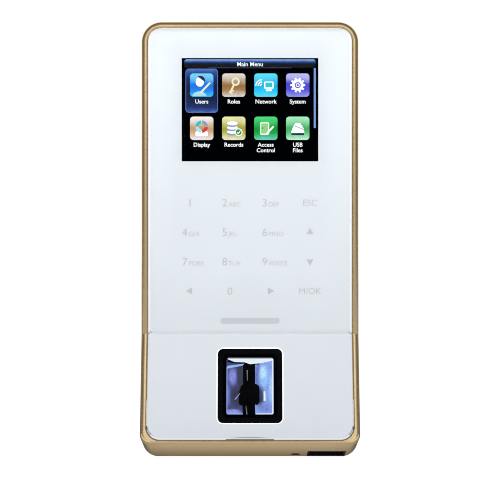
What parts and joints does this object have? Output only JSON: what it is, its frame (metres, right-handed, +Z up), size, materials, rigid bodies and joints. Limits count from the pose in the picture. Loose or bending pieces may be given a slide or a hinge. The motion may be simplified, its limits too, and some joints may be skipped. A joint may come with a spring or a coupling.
{
  "type": "fingerprint access terminal",
  "caption": "Slim wall-mounted fingerprint access terminal with colour display, touch keypad, optical fingerprint window on a sloping lower face, and a wall plate.",
  "frame": {"origin": "centre of the wall plate's back face, on the wall, at half the terminal's height", "axes": "+Z up, +Y into the wall, so the front faces -Y; +X to the right seen from the front"},
  "size_m": [0.078, 0.0192, 0.158],
  "materials": {
    "gold_paint": "champagne gold metallic lacquer, satin",
    "clear_glass": "polished toughened glass",
    "white_print": "white printed film",
    "tape": "foam mounting tape",
    "white_gloss": "white, polished",
    "black_gloss": "black, polished",
    "black_matt": "black, fine spark texture",
    "silicone": "black silicone rubber",
    "prism_glass": "polished optical glass",
    "diffuser": "opal, lit blue-white",
    "led": "clear resin over yellow phosphor",
    "circuit_board": "green solder mask",
    "chip": "black moulded epoxy",
    "steel": "zinc-plated sheet steel",
    "screw_steel": "nickel-plated steel",
    "black_oxide": "black oxide finish",
    "tin": "tin-plated sheet",
    "copper": "etched copper coil",
    "contact": "gold-plated contacts",
    "display": "liquid crystal cell, dark",
    "light_film": "white light guide",
    "status_light": "frosted grey light guide",
    "flex": "amber polyimide",
    "connector": "ivory nylon",
    "relay_case": "blue relay case",
    "foam": "closed-cell foam",
    "paper_cone": "black polymer cone",
    "button": "red button plastic"
  },
  "bodies": {
    "terminal": {"housing_frame": "gold_paint", "front_glass": "clear_glass", "legend_film": "white_print", "glass_tape": "tape", "lower_cover": "white_gloss", "sensor_bezel": "black_gloss", "sensor_gasket": "silicone", "fingerprint_prism": "prism_glass", "light_panels": "diffuser", "sensor_lens": "black_matt", "sensor_housing": "black_matt", "sensor_board": "circuit_board", "image_chip": "chip", "sensor_leds": "led", "sensor_screws": "screw_steel", "sensor_flex": "flex", "sensor_connector": "connector", "status_light_guide": "status_light", "status_leds": "led", "lcd_panel": "display", "lcd_backlight": "light_film", "lcd_tray": "tin", "lcd_flex": "flex", "lcd_connector": "connector", "touch_board": "circuit_board", "touch_connector": "chip", "key_leds": "led", "card_reader_coil": "copper", "main_board": "circuit_board", "board_screws": "screw_steel", "processor": "chip", "memory_chips": "chip", "power_inductors": "chip", "capacitors": "tin", "shield_can": "tin", "lock_relay": "relay_case", "coin_cell_holder": "black_matt", "coin_cell": "steel", "power_header": "connector", "network_header": "connector", "lock_header": "connector", "header_pins": "contact", "usb_socket_shell": "tin", "usb_socket_tongue": "black_matt", "usb_bezel": "black_matt", "speaker_gasket": "foam", "speaker_basket": "black_matt", "speaker_cone": "paper_cone", "speaker_magnet": "steel", "tamper_switch": "black_matt", "reset_switch": "black_matt", "rear_cover": "black_matt", "rear_cover_screws": "screw_steel", "wiring_seal": "silicone", "wall_plate": "steel", "securing_screw": "black_oxide"},
    "plunger": {"tamper_plunger": "connector"},
    "reset": {"reset_button": "button"}
  },
  "joints": [
    {"name": "tamper_plunger_slide", "type": "slide", "parent": "terminal", "child": "plunger", "axis": [0, 1, 0], "range_m": [0, 0.0015], "stiffness_N_per_m": 100, "springref_m": 0.0015},
    {"name": "reset_button_press", "type": "slide", "parent": "terminal", "child": "reset", "axis": [0, -1, 0], "range_m": [0, 0.00035], "stiffness_N_per_m": 250}
  ]
}
